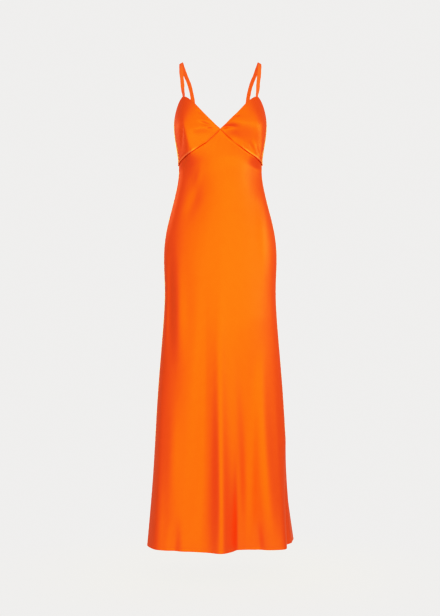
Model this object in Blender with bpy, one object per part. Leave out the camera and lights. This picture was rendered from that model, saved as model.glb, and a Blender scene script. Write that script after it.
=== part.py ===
"""A bias-cut satin evening gown, filled out as if worn, with nobody in it.

Six pieces are cut and sewn: a front panel that rises to a point between two bust cups,
one back panel, and two narrow shoulder straps. Every panel is a thin wall that follows
one shared form, so neighbours meet edge to edge across an even seam gap.

The origin is midway between the places where the straps lie on the shoulders.
+Z is up, -Y is the front of the gown, and +X is the wearer's left.
"Below" is a distance under the origin. An angle runs round the gown from 0 at the
centre front, through +90 at the wearer's left side seam, to 180 at the centre back.
"""

import math

import bpy
import numpy as np

# Cloth, in metres
CLOTH_WALL = 0.0012
STRAP_WALL = 0.0015
STRAP_WIDTH = 0.012
SEAM_GAP = 0.0006
CUP_SEAM_GAP = 0.0005  # straight down, because that seam runs at a slant

# The gown's own length, from the strap tops to the hem
HEM_BELOW = 1.472
SIDE_ANGLE = 90.0
SQUARENESS = 2.25  # 2 is an ellipse, and more fills out its corners

# The worn form: below, half width, front depth, back depth
SECTIONS = np.array(
    (
        (0.100, 0.1275, 0.100, 0.086),
        (0.150, 0.1358, 0.110, 0.089),
        (0.200, 0.1400, 0.113, 0.090),
        (0.250, 0.1358, 0.110, 0.086),
        (0.290, 0.1300, 0.105, 0.081),
        (0.335, 0.1269, 0.099, 0.077),
        (0.390, 0.1346, 0.098, 0.082),
        (0.450, 0.1492, 0.103, 0.098),
        (0.510, 0.1638, 0.109, 0.114),
        (0.580, 0.1720, 0.114, 0.125),
        (0.690, 0.1698, 0.118, 0.125),
        (0.800, 0.1745, 0.121, 0.124),
        (1.000, 0.1908, 0.126, 0.130),
        (1.250, 0.2062, 0.132, 0.141),
        (1.472, 0.2255, 0.138, 0.155),
    )
)

# The fullness that each cup is cut with
CUP_ANGLE = 39.0
CUP_BELOW = 0.190
CUP_FULLNESS = 0.024
CUP_SPREAD_ANGLE = 20.0
CUP_SPREAD_UP = 0.055
CUP_SPREAD_DOWN = 0.042

# Skirt folds: angle, spread of angle, depth at the hem (in is negative), and how far below they start
FOLDS = np.array(
    (
        (-68.0, 9.0, -0.014, 0.80),
        (-35.0, 6.0, -0.004, 1.25),
        (-19.0, 17.0, 0.014, 0.66),
        (-9.0, 3.2, -0.009, 0.66),
        (0.0, 6.5, 0.016, 0.70),
        (28.0, 7.0, -0.031, 0.72),
        (46.0, 11.0, -0.048, 0.78),
        (57.0, 4.0, -0.011, 0.90),
        (67.0, 3.0, 0.008, 0.95),
        (86.0, 7.0, -0.030, 1.15),
        (124.0, 10.0, 0.061, 0.82),
        (142.0, 6.0, -0.028, 0.78),
        (154.0, 8.0, 0.022, 0.72),
        (172.0, 7.0, -0.024, 0.80),
        (-171.0, 8.0, 0.020, 0.74),
        (-153.0, 8.0, -0.027, 0.70),
        (-133.0, 9.0, 0.024, 0.76),
        (-112.0, 9.0, -0.020, 0.85),
    )
)
FOLD_GROWTH = 1.15  # 1 lets a fold deepen evenly down to the hem

# The seam under the cups, from the centre front to the side: angle, below
CUP_SEAM = np.array(
    (
        (0.0, 0.2130),
        (8.0, 0.2335),
        (15.5, 0.2466),
        (27.5, 0.2616),
        (42.5, 0.2795),
        (57.4, 0.2938),
        (74.8, 0.3080),
        (90.0, 0.3135),
    )
)

# The V neckline, from the centre front to the strap: angle, below
NECKLINE = np.array(
    (
        (0.0, 0.2130),
        (6.0, 0.2020),
        (11.5, 0.1904),
        (21.8, 0.1666),
        (32.5, 0.1415),
        (45.5, 0.1205),
        (53.3, 0.1122),
    )
)

# The armhole, from the strap to the side seam: angle, below
ARMHOLE = np.array(
    (
        (61.8, 0.1112),
        (66.0, 0.1210),
        (69.3, 0.1322),
        (73.8, 0.1551),
        (77.5, 0.1735),
        (82.5, 0.1905),
        (90.0, 0.2000),
    )
)

# The low back edge, from the side seam to the centre back: angle, below
BACK_EDGE = np.array(
    (
        (90.0, 0.2000),
        (104.0, 0.2085),
        (120.0, 0.2105),
        (136.0, 0.2090),
        (152.0, 0.2220),
        (166.0, 0.2350),
        (180.0, 0.2400),
    )
)

# A strap's middle line where it is clear of the panels, for the wearer's left: across, back, up
STRAP_FRONT_ANGLE = 60.0
STRAP_BACK_ANGLE = 136.0
STRAP_LINE = np.array(
    (
        (0.1119, -0.0565, -0.0968),
        (0.1150, -0.0420, -0.0646),
        (0.1180, -0.0300, -0.0400),
        (0.1196, -0.0190, -0.0180),
        (0.1200, -0.0105, -0.0052),
        (0.1194, 0.0000, 0.0008),
        (0.1165, 0.0105, -0.0058),
        (0.1125, 0.0205, -0.0165),
        (0.1064, 0.0325, -0.0325),
        (0.0985, 0.0442, -0.0500),
        (0.0918, 0.0545, -0.0705),
        (0.0868, 0.0635, -0.0940),
        (0.0822, 0.0725, -0.1270),
        (0.0785, 0.0775, -0.1650),
    )
)
STRAP_TUCK = 0.014  # how far each end is sewn in behind its panel's edge
STRAP_GAP = 0.0010  # a flat strap behind a curved panel, so its edges come closer than this
STRAP_TURN = 0.05  # the length over which it turns from lying along a panel to lying on the shoulder
SHOULDER_SLOPE = 30.0
STRAP_STATIONS = 56

# Columns of the meshes, from the centre front to a side seam, and rows
CUP_COLUMNS = (3, 6, 9, 12, 16, 20, 24, 28, 32, 36, 40, 44.5, 49, 53.3, 57.5)
ARMHOLE_COLUMNS = (61.8, 64, 66, 69, 72, 75, 79, 83, 86.5, 90)
COLUMNS = CUP_COLUMNS + ARMHOLE_COLUMNS
CUP_INNER_ANGLE = 0.6
BACK_COLUMNS = 32
FRONT_ROWS = 20
BACK_ROWS = 20
CUP_ROWS = 8
SKIRT_ROW_GROWTH = 1.35  # above 1, the rows are closer together over the waist than at the hem

# Small steps either way that find which way the form's face points
PROBE_TURN = 0.5
PROBE_DROP = 0.0005

SATIN = {"name": "orange_satin", "colour": (0.93, 0.12, 0.012, 1.0), "roughness": 0.42}


def smooth_curve(knots, values):
    """A natural cubic spline through the knots, as a function of one number."""
    gaps = np.diff(knots)
    slopes = np.diff(values) / gaps
    matrix = np.eye(len(knots))
    bends = np.zeros(len(knots))
    for i in range(1, len(knots) - 1):
        matrix[i, i - 1 : i + 2] = gaps[i - 1], 2 * (gaps[i - 1] + gaps[i]), gaps[i]
        bends[i] = 6 * (slopes[i] - slopes[i - 1])
    bends = np.linalg.solve(matrix, bends)

    def at(x):
        i = min(max(int(np.searchsorted(knots, x)) - 1, 0), len(gaps) - 1)
        after, before = x - knots[i], knots[i + 1] - x
        cubic = bends[i] * before**3 + bends[i + 1] * after**3
        return (
            cubic / (6 * gaps[i])
            + (values[i] / gaps[i] - bends[i] * gaps[i] / 6) * before
            + (values[i + 1] / gaps[i] - bends[i + 1] * gaps[i] / 6) * after
        )

    return at


half_width, front_depth, back_depth = (smooth_curve(SECTIONS[:, 0], SECTIONS[:, i]) for i in (1, 2, 3))
cup_seam = smooth_curve(*CUP_SEAM.T)
neckline = smooth_curve(*NECKLINE.T)
armhole = smooth_curve(*ARMHOLE.T)
back_edge = smooth_curve(*BACK_EDGE.T)


def bell(distance, spread):
    return math.exp(-0.5 * (distance / spread) ** 2)


def turn_between(angle, other):
    """The shortest turn from one angle to another, in degrees."""
    return (angle - other + 180.0) % 360.0 - 180.0


def cup_fullness(angle, below):
    spread = CUP_SPREAD_UP if below < CUP_BELOW else CUP_SPREAD_DOWN
    across = sum(bell(turn_between(angle, side * CUP_ANGLE), CUP_SPREAD_ANGLE) for side in (-1, 1))
    return CUP_FULLNESS * across * bell(below - CUP_BELOW, spread)


def fold_depth(angle, below):
    depth = 0.0
    for middle, spread, hem_depth, start in FOLDS:
        if below > start:
            grown = ((below - start) / (HEM_BELOW - start)) ** FOLD_GROWTH
            depth += hem_depth * grown * bell(turn_between(angle, middle), spread)
    return depth


def form_point(angle, below):
    """The outer face of the gown at an angle and a height."""
    across, ahead = math.sin(math.radians(angle)), math.cos(math.radians(angle))
    depth = front_depth(below) if ahead >= 0 else back_depth(below)
    reach = (abs(across) / half_width(below)) ** SQUARENESS + (abs(ahead) / depth) ** SQUARENESS
    radius = reach ** (-1 / SQUARENESS) + cup_fullness(angle, below) + fold_depth(angle, below)
    return np.array((radius * across, -radius * ahead, -below))


def unit(vector):
    return vector / np.linalg.norm(vector)


def along_form(angle, below):
    """The direction round the gown there, as the angle grows."""
    return unit(form_point(angle + PROBE_TURN, below) - form_point(angle - PROBE_TURN, below))


def out_of_form(angle, below):
    """The direction straight out of the cloth there."""
    down = form_point(angle, below + PROBE_DROP) - form_point(angle, below - PROBE_DROP)
    return unit(np.cross(down, along_form(angle, below)))


def satin_material():
    made = bpy.data.materials.get(SATIN["name"]) or bpy.data.materials.new(SATIN["name"])
    made.use_nodes = True
    shader = made.node_tree.nodes["Principled BSDF"]
    shader.inputs["Base Color"].default_value = SATIN["colour"]
    shader.inputs["Roughness"].default_value = SATIN["roughness"]
    shader.inputs["Metallic"].default_value = 0.0
    return made


def add_cloth(name, columns, wall, offset):
    """A closed wall of cloth on a grid of points, its columns left to right as seen from outside.

    An offset of -1 puts all of the wall behind the grid, and 0 centres it there.
    """
    rows = len(columns[0])
    points = [tuple(point) for column in columns for point in column]
    faces = []
    for left in range(0, len(points) - rows, rows):
        for top in range(left, left + rows - 1):
            faces.append((top, top + 1, top + 1 + rows, top + rows))
    mesh = bpy.data.meshes.new(name)
    mesh.from_pydata(points, [], faces)
    mesh.materials.append(satin_material())
    mesh.shade_smooth()
    obj = bpy.data.objects.new(name, mesh)
    bpy.context.scene.collection.objects.link(obj)
    solidify = obj.modifiers.new("wall", "SOLIDIFY")
    solidify.thickness = wall
    solidify.offset = offset
    return obj


def clear_of_side(seam_angle, below, way):
    """A side seam's angle, moved half of the seam's gap round the gown."""
    radius = np.linalg.norm(form_point(seam_angle, below)[:2])
    return seam_angle + way * math.degrees(SEAM_GAP / 2 / radius)


def add_panel(name, angles, top, bottom, rows, row_growth):
    """A panel of cloth between two edges, each given as a distance below for an angle.

    Its first or last column stops half a seam gap short where it lies on a side seam.
    """
    middle = (angles[0] + angles[-1]) / 2
    columns = []
    for angle in angles:
        on_side_seam = abs(angle) % 180.0 == SIDE_ANGLE
        column = []
        for share in (np.arange(rows + 1) / rows) ** row_growth:
            below = top(angle) + (bottom(angle) - top(angle)) * share
            inwards = np.sign(middle - angle)
            column.append(form_point(clear_of_side(angle, below, inwards) if on_side_seam else angle, below))
        columns.append(column)
    return add_cloth(name, columns, CLOTH_WALL, -1.0)


def hem(_angle):
    return HEM_BELOW


def add_front_panel():
    def top(angle):
        return cup_seam(abs(angle)) + CUP_SEAM_GAP / 2

    angles = sorted([0.0, *COLUMNS, *(-angle for angle in COLUMNS)])
    return add_panel("front_panel", angles, top, hem, FRONT_ROWS, SKIRT_ROW_GROWTH)


def add_back_panel():
    def top(angle):
        return back_edge(180.0 - abs(180.0 - angle))

    angles = [SIDE_ANGLE + 180.0 * i / BACK_COLUMNS for i in range(BACK_COLUMNS + 1)]
    return add_panel("back_panel", angles, top, hem, BACK_ROWS, SKIRT_ROW_GROWTH)


def cup_top(angle):
    """The neckline up to the strap, the strap's own width, then the armhole."""
    (inner, inner_below), (outer, outer_below) = NECKLINE[-1], ARMHOLE[0]
    if angle <= inner:
        return neckline(angle)
    if angle >= outer:
        return armhole(angle)
    return inner_below + (outer_below - inner_below) * (angle - inner) / (outer - inner)


def add_cup(name, side):
    """A bust cup. Side is 1 for the wearer's left and -1 for the right."""

    def top(angle):
        return cup_top(abs(angle))

    def bottom(angle):
        return cup_seam(abs(angle)) - CUP_SEAM_GAP / 2

    angles = sorted(side * angle for angle in (CUP_INNER_ANGLE, *COLUMNS))
    return add_panel(name, angles, top, bottom, CUP_ROWS, 1.0)


def behind_panel(angle, below):
    """A point on a strap's middle line that lies behind a panel, clear of its inner face."""
    depth = CLOTH_WALL + STRAP_GAP + STRAP_WALL / 2
    return form_point(angle, below) - depth * out_of_form(angle, below)


def strap_line():
    """Evenly spaced points along the middle of the wearer's left strap, front end first."""
    front, back = cup_top(STRAP_FRONT_ANGLE), back_edge(STRAP_BACK_ANGLE)
    tucks = (STRAP_TUCK, STRAP_TUCK / 2, 0.0)
    knots = [
        *(behind_panel(STRAP_FRONT_ANGLE, front + tuck) for tuck in tucks),
        *STRAP_LINE,
        *(behind_panel(STRAP_BACK_ANGLE, back + tuck) for tuck in reversed(tucks)),
    ]
    knots = np.array(knots)
    along = np.concatenate([[0.0], np.cumsum(np.linalg.norm(np.diff(knots, axis=0), axis=1))])
    curves = [smooth_curve(along, knots[:, i]) for i in range(3)]
    stations = np.linspace(0.0, along[-1], STRAP_STATIONS)
    return np.array([[curve(station) for curve in curves] for station in stations])


def strap_widths(line):
    """The direction across the strap at each point of its line, towards its outer edge."""
    slope = math.radians(SHOULDER_SLOPE)
    on_shoulder = np.array((math.cos(slope), 0.0, -math.sin(slope)))
    on_front = along_form(STRAP_FRONT_ANGLE, cup_top(STRAP_FRONT_ANGLE))
    on_back = -along_form(STRAP_BACK_ANGLE, back_edge(STRAP_BACK_ANGLE))
    spacing = np.linalg.norm(line[1] - line[0])

    def share_on_panel(stations_from_end):
        turned = (stations_from_end * spacing - STRAP_TUCK) / STRAP_TURN
        turned = min(max(turned, 0.0), 1.0)
        return 1.0 - turned * turned * (3.0 - 2.0 * turned)

    widths = []
    for i, forward in enumerate(np.gradient(line, axis=0)):
        front, back = share_on_panel(i), share_on_panel(len(line) - 1 - i)
        wanted = on_front * front + on_back * back + on_shoulder * (1.0 - front - back)
        forward = unit(forward)
        widths.append(unit(wanted - forward * np.dot(wanted, forward)))
    return np.array(widths)


def add_strap(name, side):
    """A shoulder strap. Side is 1 for the wearer's left and -1 for the right."""
    line = strap_line()
    to_edge = strap_widths(line) * STRAP_WIDTH / 2
    mirror = np.array((side, 1.0, 1.0))
    edges = [(line + to_edge) * mirror, (line - to_edge) * mirror]
    return add_cloth(name, edges[::side], STRAP_WALL, 0.0)


def main():
    for obj in list(bpy.data.objects):
        bpy.data.objects.remove(obj)
    add_front_panel()
    add_back_panel()
    add_cup("cup_left", 1)
    add_cup("cup_right", -1)
    add_strap("strap_left", 1)
    add_strap("strap_right", -1)


main()
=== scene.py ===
"""The looks of a bias-cut satin slip gown, filled out as if worn, with nobody in it.

Every panel is a thin shell of cloth on the worn form of its solid: sections of the body,
the fullness of the cups and the folds of the skirt give the form. Creases are laid over it.
Those of the front and the back, and the form of the bust, move the cloth along the
gown's depth. Those of the cups, the rolled seams, the puckers and the turned hem move it
along the cloth's own normal.

The origin is midway between the places where the straps lie on the shoulders.
+Z is up, -Y is the front of the gown, and +X is the wearer's left. All sizes are in metres.
"Below" is a distance under the origin. An angle runs round the gown from 0 at the
centre front, through +90 at the wearer's left side seam, to 180 at the centre back.
"""

import math

import bpy
import numpy as np
from bpy.props import FloatProperty, FloatVectorProperty, PointerProperty
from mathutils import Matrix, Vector


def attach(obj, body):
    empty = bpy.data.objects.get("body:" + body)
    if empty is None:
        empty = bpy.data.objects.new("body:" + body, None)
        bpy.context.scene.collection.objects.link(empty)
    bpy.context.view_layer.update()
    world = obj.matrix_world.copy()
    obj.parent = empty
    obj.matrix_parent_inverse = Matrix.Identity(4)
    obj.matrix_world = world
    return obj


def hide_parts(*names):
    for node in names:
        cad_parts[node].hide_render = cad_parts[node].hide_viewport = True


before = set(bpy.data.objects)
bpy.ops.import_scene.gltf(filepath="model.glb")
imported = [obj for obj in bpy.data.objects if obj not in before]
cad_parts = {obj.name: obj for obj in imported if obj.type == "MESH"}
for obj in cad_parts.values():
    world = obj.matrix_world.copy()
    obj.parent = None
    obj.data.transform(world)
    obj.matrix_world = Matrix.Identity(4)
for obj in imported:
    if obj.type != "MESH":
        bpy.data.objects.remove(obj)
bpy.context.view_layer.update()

bl_info = {
    "name": "Satin slip gown",
    "version": (1, 0, 0),
    "blender": (4, 5, 0),
    "location": "3D View > Sidebar > Gown",
    "description": "Builds the cloth, seams, straps, hem and studio of a bias-cut satin slip gown",
    "category": "Object",
}

# ---------------------------------------------------------------- the worn form

HEM_BELOW = 1.472
HEM_TURN = 0.008
SQUARENESS = 2.25  # 2 is an ellipse, and more fills out its corners
SEAM_GAP = -0.0002  # sewn edges overlap, so their gap is negative
CUP_SEAM_GAP = -0.0012

# below, half width, front depth, back depth
SECTIONS = np.array(
    (
        (0.100, 0.1275, 0.100, 0.086),
        (0.150, 0.1358, 0.110, 0.089),
        (0.200, 0.1400, 0.113, 0.090),
        (0.250, 0.1358, 0.110, 0.086),
        (0.290, 0.1300, 0.105, 0.081),
        (0.335, 0.1269, 0.099, 0.077),
        (0.390, 0.1346, 0.098, 0.082),
        (0.450, 0.1492, 0.103, 0.098),
        (0.510, 0.1638, 0.109, 0.114),
        (0.580, 0.1720, 0.114, 0.125),
        (0.690, 0.1698, 0.118, 0.125),
        (0.800, 0.1745, 0.121, 0.124),
        (1.000, 0.1908, 0.126, 0.130),
        (1.250, 0.2062, 0.132, 0.141),
        (1.472, 0.2255, 0.138, 0.155),
    )
)

# The fullness that each cup is cut with
CUP_ANGLE = 39.0
CUP_BELOW = 0.190
CUP_FULLNESS = 0.024
CUP_SPREAD_ANGLE = 20.0
CUP_SPREAD_UP = 0.055
CUP_SPREAD_DOWN = 0.042

# Skirt folds: angle, spread of angle, depth at the hem (in is negative), and how far below they start
FOLDS = np.array(
    (
        (-68.0, 9.0, -0.014, 0.80),
        (-35.0, 6.0, -0.004, 1.25),
        (-19.0, 17.0, 0.014, 0.66),
        (0.0, 6.5, 0.016, 0.70),
        (27.0, 8.0, -0.031, 0.80),
        (46.0, 11.0, -0.048, 0.78),
        (57.0, 4.0, -0.011, 0.90),
        (67.0, 3.0, 0.008, 0.95),
        (86.0, 7.0, -0.030, 1.15),
        (124.0, 10.0, 0.061, 0.82),
        (142.0, 6.0, -0.028, 0.78),
        (154.0, 8.0, 0.022, 0.72),
        (172.0, 7.0, -0.024, 0.80),
        (-171.0, 8.0, 0.020, 0.74),
        (-153.0, 8.0, -0.027, 0.70),
        (-133.0, 9.0, 0.024, 0.76),
        (-112.0, 9.0, -0.020, 0.85),
    )
)
FOLD_GROWTH = 1.15  # 1 lets a fold deepen evenly down to the hem

# The seam under the cups, from the centre front to the side: angle, below
CUP_SEAM = (
    (0.0, 0.2130),
    (8.0, 0.2335),
    (15.5, 0.2466),
    (27.5, 0.2616),
    (42.5, 0.2795),
    (57.4, 0.2938),
    (74.8, 0.3080),
    (90.0, 0.3135),
)

# The V neckline, from the centre front to the strap: angle, below
NECKLINE = (
    (0.0, 0.2130),
    (6.0, 0.2020),
    (11.5, 0.1904),
    (21.8, 0.1666),
    (32.5, 0.1415),
    (45.5, 0.1205),
    (53.3, 0.1122),
)

# The armhole, from the strap to the side seam: angle, below
ARMHOLE = (
    (61.8, 0.1112),
    (66.0, 0.1210),
    (69.3, 0.1322),
    (73.8, 0.1551),
    (77.5, 0.1735),
    (82.5, 0.1905),
    (90.0, 0.2000),
)

# The low back edge, from the side seam to the centre back: angle, below
BACK_EDGE = (
    (90.0, 0.2000),
    (104.0, 0.2085),
    (120.0, 0.2105),
    (136.0, 0.2090),
    (152.0, 0.2220),
    (166.0, 0.2350),
    (180.0, 0.2400),
)

# A strap's middle line where it is clear of the panels, for the wearer's left: across, back, up
STRAP_LINE = (
    (0.1119, -0.0565, -0.0968),
    (0.1150, -0.0420, -0.0646),
    (0.1180, -0.0300, -0.0400),
    (0.1196, -0.0190, -0.0180),
    (0.1200, -0.0105, -0.0052),
    (0.1194, 0.0000, 0.0008),
    (0.1165, 0.0105, -0.0058),
    (0.1125, 0.0205, -0.0165),
    (0.1064, 0.0325, -0.0325),
    (0.0985, 0.0442, -0.0500),
    (0.0918, 0.0545, -0.0705),
    (0.0868, 0.0635, -0.0940),
    (0.0822, 0.0725, -0.1270),
    (0.0785, 0.0775, -0.1650),
)
STRAP_WIDTH = 0.012
STRAP_THICKNESS = 0.0015
STRAP_FRONT_ANGLE = 60.0
STRAP_BACK_ANGLE = 136.0
STRAP_TUCK = 0.014
STRAP_TURN = 0.05
STRAP_BEHIND = 0.00295  # from a panel's outer face to the middle of the strap behind it
SHOULDER_SLOPE = 30.0

# ---------------------------------------------------------------- creases

# Soft troughs and ridges. Each runs along a bent line seen from the front:
# across (+X) and below at its start, middle and end. Then come its half width at either
# end, its depth (in is negative), and where along it, from 0 to 1, it is deepest.
FRONT_CREASES = (
    # the diagonal pull from under the right cup to the hip, in a broad hollow
    (-0.060, 0.375, -0.086, 0.440, -0.124, 0.530, 0.010, 0.014, -0.0036, 0.35),
    (-0.078, 0.290, -0.086, 0.410, -0.100, 0.640, 0.032, 0.032, -0.0080, 0.38),
    # the broad crest beside the middle of the waist, and a light streak on the other side
    (0.028, 0.290, 0.033, 0.400, 0.038, 0.560, 0.044, 0.050, 0.0080, 0.40),
    (-0.050, 0.300, -0.064, 0.345, -0.080, 0.392, 0.006, 0.007, 0.0018, 0.50),
    # the hollow of the waist at the wearer's left
    (0.116, 0.280, 0.113, 0.345, 0.124, 0.430, 0.016, 0.020, -0.0120, 0.42),
    # the squarer front of the hips, and the line down the outside of the right thigh
    (0.116, 0.330, 0.138, 0.560, 0.142, 0.860, 0.014, 0.016, 0.0085, 0.40),
    (-0.150, 0.500, -0.149, 0.740, -0.142, 0.960, 0.007, 0.010, -0.0050, 0.55),
    (-0.128, 0.520, -0.128, 0.740, -0.124, 0.960, 0.013, 0.017, 0.0075, 0.55),
    (-0.165, 0.500, -0.166, 0.720, -0.172, 0.950, 0.006, 0.007, 0.0090, 0.50),
    # the long hollow on the wearer's right of the middle, and the streak down its side
    (-0.034, 0.780, -0.048, 1.200, -0.078, 1.660, 0.040, 0.030, -0.0210, 0.68),
    (-0.043, 0.600, -0.051, 1.060, -0.064, 1.560, 0.012, 0.017, -0.0064, 0.45),
    # the ridge beside it, which bends towards the wearer's left at the hem
    (0.001, 0.560, -0.001, 1.120, 0.018, 1.700, 0.010, 0.013, 0.0080, 0.65),
    # the slope on the wearer's left of the middle, which eases out into a small ridge
    (0.047, 0.900, 0.055, 1.200, 0.057, 1.520, 0.010, 0.013, 0.0110, 0.60),
    # the broad ridge towards the wearer's left
    (0.128, 0.850, 0.131, 1.200, 0.158, 1.620, 0.010, 0.034, 0.0300, 0.65),
    # the full flank towards the wearer's right
    (-0.172, 0.660, -0.194, 1.440, -0.206, 2.220, 0.020, 0.030, 0.0270, 0.50),
    (-0.140, 0.950, -0.148, 1.200, -0.156, 1.460, 0.016, 0.018, 0.0060, 0.50),
    # short flutes at the hem
    (-0.128, 1.360, -0.134, 1.430, -0.141, 1.530, 0.010, 0.013, -0.0090, 0.75),
    (0.112, 1.380, 0.115, 1.435, 0.119, 1.500, 0.007, 0.009, -0.0060, 0.70),
)
# The form of the bust, which the cups share with the top of the front panel
BUST_FORM = (
    # the outer side of the right cup, the fullness under it, and the outer side of the left cup
    (-0.124, 0.105, -0.119, 0.235, -0.104, 0.330, 0.018, 0.026, 0.0200, 0.68),
    (-0.120, 0.276, -0.078, 0.270, -0.016, 0.240, 0.048, 0.034, 0.0190, 0.40),
    (0.119, 0.085, 0.129, 0.240, 0.114, 0.335, 0.018, 0.022, 0.0300, 0.68),
)
# The back isn't seen in the photo, so its creases follow the manner of the front's
BACK_CREASES = (
    # pulls across the small of the back, from each side seam
    (0.104, 0.262, 0.062, 0.318, 0.010, 0.352, 0.007, 0.012, -0.0042, 0.35),
    (0.110, 0.312, 0.070, 0.352, 0.030, 0.420, 0.010, 0.016, 0.0046, 0.42),
    (-0.108, 0.286, -0.058, 0.330, -0.018, 0.398, 0.009, 0.015, -0.0052, 0.38),
    (-0.100, 0.344, -0.068, 0.392, -0.052, 0.478, 0.006, 0.010, 0.0030, 0.45),
    (0.030, 0.232, 0.018, 0.270, 0.012, 0.318, 0.008, 0.007, -0.0026, 0.40),
    # a shallow hollow down the middle of the waist, and a fold over each hip
    (-0.004, 0.300, 0.002, 0.430, 0.010, 0.600, 0.026, 0.020, -0.0060, 0.35),
    (-0.092, 0.452, -0.104, 0.610, -0.098, 0.860, 0.014, 0.022, 0.0070, 0.45),
    (0.086, 0.500, 0.092, 0.640, 0.076, 0.800, 0.011, 0.016, -0.0054, 0.50),
    # long soft folds down to the hem
    (-0.040, 0.620, -0.056, 1.060, -0.048, 1.660, 0.018, 0.030, 0.0200, 0.66),
    (0.034, 0.700, 0.040, 1.120, 0.060, 1.620, 0.013, 0.024, -0.0150, 0.60),
    (-0.112, 0.880, -0.128, 1.200, -0.124, 1.560, 0.014, 0.020, -0.0110, 0.62),
    (0.112, 0.800, 0.126, 1.160, 0.142, 1.600, 0.016, 0.026, 0.0180, 0.64),
    (0.006, 0.980, 0.004, 1.220, 0.012, 1.520, 0.009, 0.013, 0.0060, 0.58),
)
LEFT_CUP_CREASES = (
    # the sharp fold that runs out of the V, the ridge over it and the hollow under it
    (0.004, 0.2080, 0.050, 0.1920, 0.104, 0.2280, 0.006, 0.018, 0.0066, 0.50),
    (0.003, 0.2135, 0.028, 0.2080, 0.070, 0.2110, 0.0028, 0.0050, -0.0052, 0.32),
    (0.008, 0.2240, 0.046, 0.2450, 0.082, 0.2660, 0.013, 0.016, -0.0072, 0.38),
    # a short nick near the neckline
    (0.045, 0.1790, 0.053, 0.1745, 0.060, 0.1700, 0.0024, 0.0024, -0.0024, 0.50),
    # small gathers above the seam
    (0.086, 0.2440, 0.091, 0.2620, 0.097, 0.2840, 0.0022, 0.0024, -0.0014, 0.60),
    (0.095, 0.2400, 0.102, 0.2630, 0.109, 0.2880, 0.0030, 0.0032, 0.0030, 0.60),
    (0.108, 0.2600, 0.113, 0.2780, 0.119, 0.2990, 0.0026, 0.0028, -0.0024, 0.60),
)
RIGHT_CUP_CREASES = (
    # the crest between the slope under the neckline and the full lower half
    (-0.106, 0.2200, -0.060, 0.2130, -0.012, 0.2140, 0.010, 0.006, 0.0030, 0.40),
    # drag lines that fan out of the V
    (-0.062, 0.1965, -0.040, 0.2025, -0.016, 0.2065, 0.0036, 0.0022, -0.0024, 0.45),
    (-0.076, 0.1860, -0.052, 0.1890, -0.030, 0.1960, 0.0040, 0.0030, 0.0020, 0.50),
    (-0.074, 0.1570, -0.060, 0.1660, -0.045, 0.1790, 0.0034, 0.0030, -0.0020, 0.50),
    (-0.045, 0.2115, -0.032, 0.2128, -0.016, 0.2142, 0.0020, 0.0018, -0.0022, 0.50),
)
CREASE_STEPS = 24
CREASE_ROOM = 4  # in half widths, how far from its line a crease still moves the cloth


# ---------------------------------------------------------------- settings


def number_field(name, description, default, low, high, **kind):
    """A setting that is one number between two limits."""
    return FloatProperty(name=name, description=description, default=default, min=low, max=high, **kind)


def length_field(name, description, default, low, high):
    """A setting in metres."""
    return number_field(name, description, default, low, high, unit="LENGTH")


def share_field(name, description, default, low=0.0):
    """A setting up to 1."""
    return number_field(name, description, default, low, 1.0, subtype="FACTOR")


def light_field(name, description, default, high):
    """How strong a light is."""
    return number_field(name, description, default, 0.0, high)


def colour_field(name, description, default, high=1.0):
    """A colour setting."""
    kind = {"subtype": "COLOR", "min": 0.0, "max": high}
    return FloatVectorProperty(name=name, description=description, default=default, **kind)


class GownClothSettings(bpy.types.PropertyGroup):
    """The satin: its colours, its shine and its thickness"""

    satin_colour: colour_field("Satin colour", "Colour of the shiny face", (0.93, 0.077, 0.018))
    # paler than the gown's satin: painted sheen, which also lightens the straps' shaded underside
    strap_colour: colour_field("Strap colour", "Colour of the pressed straps", (0.88, 0.090, 0.060))
    reverse_colour: colour_field(
        "Reverse colour", "Colour of the dull side, inside the gown", (0.78, 0.10, 0.018)
    )
    roughness: share_field("Roughness", "How widely the shiny face spreads its highlights", 0.40, 0.05)
    thread_pitch: length_field(
        "Thread pitch", "Distance between the fine diagonal lines of the weave", 0.0007, 0.0002, 0.005
    )
    wall: length_field("Thickness", "Thickness of the cloth", 0.0008, 0.0003, 0.002)
    turned_edge: length_field("Turned edge", "Thickness where an edge is turned in", 0.0013, 0.0005, 0.003)
    hem_turn: length_field("Hem turn", "Depth of the narrow turned hem", HEM_TURN, 0.003, 0.03)


class GownSewingSettings(bpy.types.PropertyGroup):
    """The seams and the stitches"""

    seam_tuck: length_field("Seam tuck", "How far the cloth rolls in at a seam", 0.0012, 0.0, 0.004)
    pucker: length_field("Pucker", "Height of the small ripples beside a seam", 0.00035, 0.0, 0.002)
    stitch_pitch: length_field(
        "Stitch pitch", "Distance from one hem stitch to the next", 0.0030, 0.001, 0.01
    )
    stitch_length: length_field(
        "Stitch length", "Thread that shows in each hem stitch", 0.0022, 0.0005, 0.008
    )
    thread: length_field("Thread", "Thickness of the sewing thread", 0.00028, 0.0001, 0.001)
    thread_colour: colour_field("Thread colour", "Colour of the sewing thread", (0.80, 0.10, 0.015))


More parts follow.
